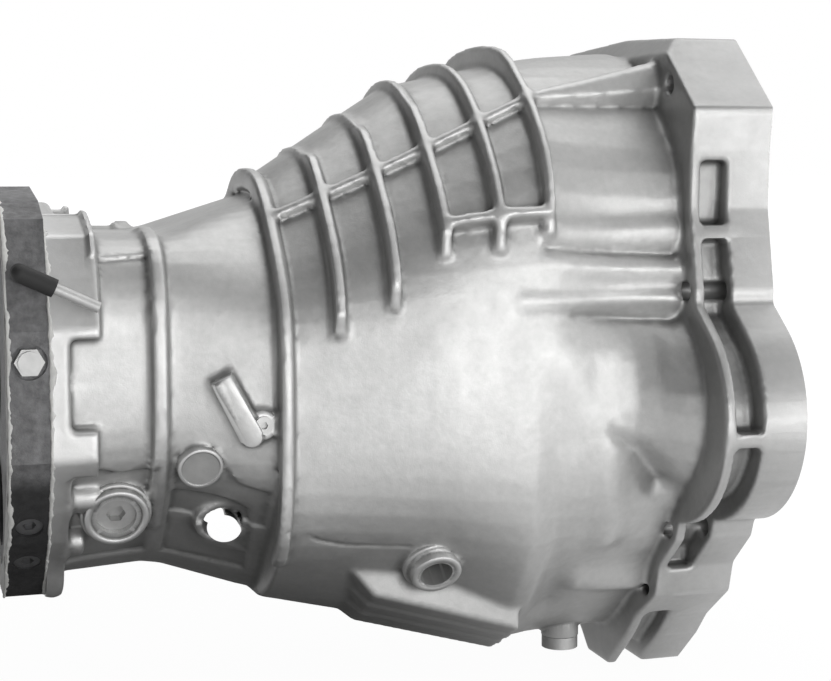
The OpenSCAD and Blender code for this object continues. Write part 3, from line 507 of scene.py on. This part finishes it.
def lug():
    """Long block with a round lower end beside the small screw."""
    turn = Matrix.Translation(Vector(LUG_PLACE) * MM)
    for angle, axis in LUG_TURNS:
        turn = turn @ Matrix.Rotation(math.radians(angle), 4, axis)
    outline = [(LUG_TOP, LUG_HALF), (LUG_TOP, -LUG_HALF)]
    outline += [(LUG_ROUND + LUG_HALF * math.sin(math.radians(a)), -LUG_HALF * math.cos(math.radians(a)))
                for a in range(0, 181, 15)]
    bm = bmesh.new()
    base = [bm.verts.new(turn @ (Vector((x, LUG_ROOT, z)) * MM)) for x, z in outline]
    face = [bm.verts.new(turn @ (Vector((x, LUG_FACE, z)) * MM)) for x, z in outline]
    bm.faces.new(base)
    bm.faces.new(face)
    for k in range(len(outline)):
        n = (k + 1) % len(outline)
        bm.faces.new([base[k], base[n], face[n], face[k]])
    edges = [e for e in bm.edges if all(v in set(face) for v in e.verts)]
    bmesh.ops.bevel(bm, geom=edges, offset=LUG_BEVEL * MM, segments=3, profile=0.5, affect="EDGES")
    return mesh_of(bm, "lug")


def bores():
    """The casting's round holes, as one mesh of closed cutters that don't touch one another."""
    bm = bmesh.new()
    for s in (-1, 1):
        for y, z in ENGINE_HOLES:
            add_cylinder(bm, (-(FLANGE_T + CUT) * MM, s * y * MM, z * MM), (1, 0, 0),
                         (FLANGE_T + 2 * CUT) * MM, ENGINE_HOLE_R * MM)
        for y, z, depth in REAR_HOLES:
            add_cylinder(bm, (-(CASE_LEN + CUT) * MM, s * y * MM, z * MM), (1, 0, 0),
                         (depth + CUT) * MM, REAR_HOLE_R * MM)
        add_cylinder(bm, (-(CASE_LEN + CUT) * MM, s * DOWEL_Y * MM, DOWEL_Z * MM), (1, 0, 0),
                     (DOWEL_HOLE_DEPTH + CUT) * MM, DOWEL_HOLE_R * MM)
    for (x, y, z), angle, low, high, radius in PORTS:
        start = Vector((x, y, z)) * MM + along(angle) * low * MM
        add_cylinder(bm, start, along(angle), (high - low) * MM, radius * MM, 64)
    return mesh_of(bm, "bores")


def sight():
    """Oval way through the open port and the far opening. It overlaps both, so it is cut by itself."""
    start, end, (wide, high) = SIGHT
    start, end = Vector(start) * MM, Vector(end) * MM
    axis = end - start
    place = (Matrix.Translation((start + end) / 2) @ axis.to_track_quat("Z", "Y").to_matrix().to_4x4()
             @ Matrix.Diagonal((wide * MM, high * MM, axis.length, 1.0)))
    bm = bmesh.new()
    bmesh.ops.create_cone(bm, cap_ends=True, segments=64, radius1=1.0, radius2=1.0, depth=1.0, matrix=place)
    return mesh_of(bm, "sight")


def seats():
    """The bulkhead's seats and the fork's window, cut one after another because the seats overlap."""
    cuts = []
    for x0, x1, radius, y, z in SEATS:
        bm = bmesh.new()
        add_cylinder(bm, (x0 * MM, y * MM, z * MM), (1, 0, 0), (x1 - x0) * MM, radius * MM, 96)
        cuts.append(mesh_of(bm, "seat"))
    bm = bmesh.new()
    add_box(bm, *WINDOW)
    cuts.append(mesh_of(bm, "window"))
    return cuts


def patch(obj):
    """Fills the thin walls beside two holes, which are cut again after the remesh."""
    bm = bmesh.new()
    bm.from_mesh(obj.data)
    for corners in HOLE_PATCHES:
        for s in (-1, 1):
            ends = [bm.verts.new((x * MM, s * y * MM, z * MM)) for y, z in corners
                    for x in (-CASE_LEN, PATCH_DEPTH - CASE_LEN)]
            bmesh.ops.convex_hull(bm, input=ends)
    bm.to_mesh(obj.data)
    bm.free()


def casting():
    obj = node_copy("front_case", "casting")
    patch(obj)
    for v in obj.data.vertices:
        if v.co.x > -FACE_BAND:
            v.co.x = JOINT_SPARE
        elif v.co.x < -CASE_LEN * MM + FACE_BAND:
            v.co.x -= JOINT_SPARE
    settle(obj, remesh=("REMESH", {"mode": "VOXEL", "voxel_size": VOXEL}))
    soft = obj.vertex_groups.new(name="soft")
    crisp = [v.index for v in obj.data.vertices if v.co.x > CRISP_X and v.co.y < CRISP_Y]
    soft.add(range(len(obj.data.vertices)), 1.0, "REPLACE")
    soft.add(crisp, CRISP_SHARE, "REPLACE")
    smoothing = {"factor": SMOOTH_FACTOR, "iterations": SMOOTH_STEPS, "vertex_group": "soft"}
    settle(obj, soften=("SMOOTH", smoothing))
    sculpt(obj)
    triangles = len(obj.data.polygons) * 2
    if triangles > MAX_FACES:
        settle(obj, thin=("DECIMATE", {"ratio": MAX_FACES / triangles}))
    bm = bmesh.new()
    add_box(bm, (-CASE_LEN * MM, -TRIM_HALF, -TRIM_HALF), (0.0, TRIM_HALF, TRIM_HALF))
    trim = mesh_of(bm, "trim")
    cutters = [(trim, "INTERSECT")] + [(turned(*rim), "UNION") for rim in RIMS] + [(lug(), "UNION")]
    cutters += [(c, "DIFFERENCE") for c in (bores(), sight(), *seats())]
    for cutter, operation in cutters:
        settle(obj, cut=("BOOLEAN", {"operation": operation, "object": cutter, "solver": "MANIFOLD"}))
        bpy.data.objects.remove(cutter)
    mat = MATS["cast_aluminium"]
    return finish_piece(obj, "case", mat, ("front_case",), sharp=SHARP_ANGLE)


casting()

# Squeezed-out sealant along both sides of the plate, in mm
JOINT_HALF, JOINT_BOTTOM = 110, 130
BEAD_STEP, BEAD_SIDES = 1.3, 8
# How many places on each side the three rough rows are averaged over: fine, long and middle waves
BEAD_WAVES = (1, 4, 2)
# Half width: mean, share of the fine and of the long waves, and the least
BEAD_WIDE, BEAD_WIDE_FINE, BEAD_WIDE_LONG, BEAD_WIDE_LEAST = 0.95, 0.28, 0.22, 0.5
# Half height: mean, share of the middle waves, and the least
BEAD_HIGH, BEAD_HIGH_MIDDLE, BEAD_HIGH_LEAST = 0.65, 0.25, 0.3
# How far the bead wanders along the shaft with the long and the fine waves
WANDER_LONG, WANDER_FINE = 0.30, 0.12
# Name, place along the shaft, top of the joint and seed of each bead
BEADS = (("front_bead", -408.5, 95.2, 3), ("rear_bead", -430.4, 104.2, 8))


def joint_outline(top):
    """The joint's outline as y and z, as in the CAD."""
    left = [(0, top), (-58, top - 7), (-88, top - 16), (-JOINT_HALF + 10, 58), (-JOINT_HALF, 30),
            (-JOINT_HALF, -40), (-91, -70), (-76, -90), (-30, -JOINT_BOTTOM)]
    return left + [(-y, z) for y, z in reversed(left[1:])]


def bead(name, x, top, seed):
    """Uneven bead round the joint at x."""
    outline = [Vector(q) for q in joint_outline(top)]
    line = []
    for a, b in zip(outline, outline[1:] + outline[:1]):
        steps = max(2, int((b - a).length / BEAD_STEP))
        line += [a.lerp(b, k / steps) for k in range(steps)]
    rng = np.random.default_rng(seed)
    rough = rng.normal(size=(3, len(line)))
    fine, long, middle = (sum(np.roll(row, k) for k in range(-w, w + 1)) / math.sqrt(2 * w + 1)
                          for row, w in zip(rough, BEAD_WAVES))
    bm = bmesh.new()
    rings = []
    for k, q in enumerate(line):
        out = Vector((q.x, q.y)).normalized()
        half_w = max(BEAD_WIDE_LEAST, BEAD_WIDE + BEAD_WIDE_FINE * fine[k] + BEAD_WIDE_LONG * long[k]) * MM
        half_h = max(BEAD_HIGH_LEAST, BEAD_HIGH + BEAD_HIGH_MIDDLE * middle[k]) * MM
        wander = (WANDER_LONG * long[k] + WANDER_FINE * fine[k]) * MM
        ring = []
        for t in (2 * math.pi * j / BEAD_SIDES for j in range(BEAD_SIDES)):
            r = half_h * math.sin(t)
            ring.append(bm.verts.new((x * MM + wander + half_w * math.cos(t),
                                      q.x * MM + out.x * r, q.y * MM + out.y * r)))
        rings.append(ring)
    for low, high in zip(rings, rings[1:] + rings[:1]):
        for j in range(BEAD_SIDES):
            n = (j + 1) % BEAD_SIDES
            bm.faces.new([low[j], low[n], high[n], high[j]])
    obj = mesh_of(bm, name)
    return finish_piece(obj, "case", MATS["joint_sheet"])


for bead_of in BEADS:
    bead(*bead_of)

# Floor, backdrop and light
LOWEST = min(v[2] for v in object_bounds())
FLOOR_GAP, FLOOR_HALF = 0.0005, 30.0
FLOOR_TONE = (0.20, 0.20, 0.20, 1.0)
FLOOR_GLOW = 1.08
# Middle of the painted shadow on the floor: round it the glow gives way to the plain dark floor. The floor
# turns white from one distance to the next round it
PAINTED_SHADOW_MIDDLE = (-0.34, 0.05, 0.0)
SEEN_FROM, SEEN_TO, SEEN_LEAST = 0.35, 1.0, 0.90
MIRRORED_FROM, MIRRORED_TO = 0.24, 0.46
# Directions along Y where the mirrored backdrop turns from the grey room to white
BACKDROP_FROM, BACKDROP_TO = 0.86, 0.99
# Directions along X where the room is darkest and lightest, and its strength there
ROOM_FROM, ROOM_TO = -0.75, 0.40
ROOM = 0.63
ROOM_DARK, ROOM_LIGHT = 0.08 * ROOM, 1.12 * ROOM
# Lamps aimed at the object's middle: place, size and power
LAMP_AIM = (-0.18, 0.0, 0.0)
LAMPS = {
    "key": ((0.16, -1.45, -0.04), (1.4, 0.36), 9.4),
    "top": ((0.0, 0.30, 1.50), (1.8, 1.4), 11.5),
    "front": ((1.40, -0.70, 0.60), (0.7, 0.9), 3.5),
}


def stage_material():
    """White floor. Near a fixed point the camera sees a little of the plain floor with its cast shadow, and
    the metal reflects a painted shadow there.
    """
    n = Nodes("stage_white")
    coord = n.add("ShaderNodeTexCoord").outputs["Object"]
    far = n.add("ShaderNodeVectorMath", operation="DISTANCE")
    n.link(coord, far.inputs[0])
    far.inputs[1].default_value = PAINTED_SHADOW_MIDDLE
    distance = far.outputs["Value"]
    seen = n.times(n.rays(("Is Camera Ray", "Is Transmission Ray")),
                   n.span(distance, SEEN_FROM, SEEN_TO, SEEN_LEAST, 1.0))
    # Painted shadow: near a fixed point the metal's reflections see the dark plain floor instead of the
    # glow.
    mirrored = n.times(n.rays(("Is Glossy Ray",)), n.span(distance, MIRRORED_FROM, MIRRORED_TO, 0.0, 1.0))
    share = n.add("ShaderNodeMath", operation="MAXIMUM")
    n.link(seen, share.inputs[0])
    n.link(mirrored, share.inputs[1])
    pale = n.add("ShaderNodeBsdfDiffuse")
    pale.inputs["Color"].default_value = FLOOR_TONE
    glow = n.add("ShaderNodeEmission")
    glow.inputs["Strength"].default_value = FLOOR_GLOW
    mix = n.add("ShaderNodeMixShader")
    n.link(share.outputs[0], mix.inputs["Fac"])
    n.link(pale.outputs["BSDF"], mix.inputs[1])
    n.link(glow.outputs["Emission"], mix.inputs[2])
    n.link(mix.outputs["Shader"], n.out.inputs["Surface"])
    return n.mat


def floor():
    bm = bmesh.new()
    bmesh.ops.create_grid(bm, x_segments=1, y_segments=1, size=FLOOR_HALF,
                          matrix=Matrix.Translation((0, 0, LOWEST - FLOOR_GAP)))
    obj = mesh_of(bm, "floor")
    obj.data.materials.append(stage_material())
    obj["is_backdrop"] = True


class WorldNodes(Nodes):
    """The same node helpers on the world's tree."""

    def __init__(self, world):
        world.use_nodes = True
        self.tree = world.node_tree
        self.tree.nodes.clear()
        self.out = self.add("ShaderNodeOutputWorld")


def studio_world():
    """White to the camera and, behind the object, in the metal too. Elsewhere grey, darker to the left."""
    scene.world = bpy.data.worlds.new("studio")
    n = WorldNodes(scene.world)
    split = n.add("ShaderNodeSeparateXYZ")
    n.link(n.add("ShaderNodeTexCoord").outputs["Generated"], split.inputs[0])
    backdrop = n.span(split.outputs["Y"], BACKDROP_FROM, BACKDROP_TO, 0.0, 1.0)
    mirrored = n.times(n.rays(("Is Glossy Ray",)), backdrop)
    share = n.add("ShaderNodeMath", operation="MAXIMUM")
    n.link(n.rays(("Is Camera Ray", "Is Transmission Ray")), share.inputs[0])
    n.link(mirrored, share.inputs[1])
    soft = n.add("ShaderNodeBackground")
    soft.inputs["Color"].default_value = (1, 1, 1, 1)
    strength = n.span(split.outputs["X"], ROOM_FROM, ROOM_TO, ROOM_DARK, ROOM_LIGHT)
    n.link(strength, soft.inputs["Strength"])
    white = n.add("ShaderNodeBackground")
    white.inputs["Color"].default_value = (1, 1, 1, 1)
    mix = n.add("ShaderNodeMixShader")
    n.link(share.outputs[0], mix.inputs["Fac"])
    n.link(soft.outputs[0], mix.inputs[1])
    n.link(white.outputs[0], mix.inputs[2])
    n.link(mix.outputs[0], n.out.inputs["Surface"])


def area_light(name, place, aim, size, power):
    data = bpy.data.lights.new(name, "AREA")
    data.shape = "RECTANGLE"
    data.size, data.size_y = size
    data.energy = power
    obj = bpy.data.objects.new(name, data)
    scene.collection.objects.link(obj)
    obj.location = place
    obj.rotation_euler = (Vector(aim) - Vector(place)).to_track_quat("-Z", "Y").to_euler()


floor()
studio_world()
for lamp_name, (lamp_place, lamp_size, lamp_power) in LAMPS.items():
    area_light(lamp_name, lamp_place, LAMP_AIM, lamp_size, lamp_power)
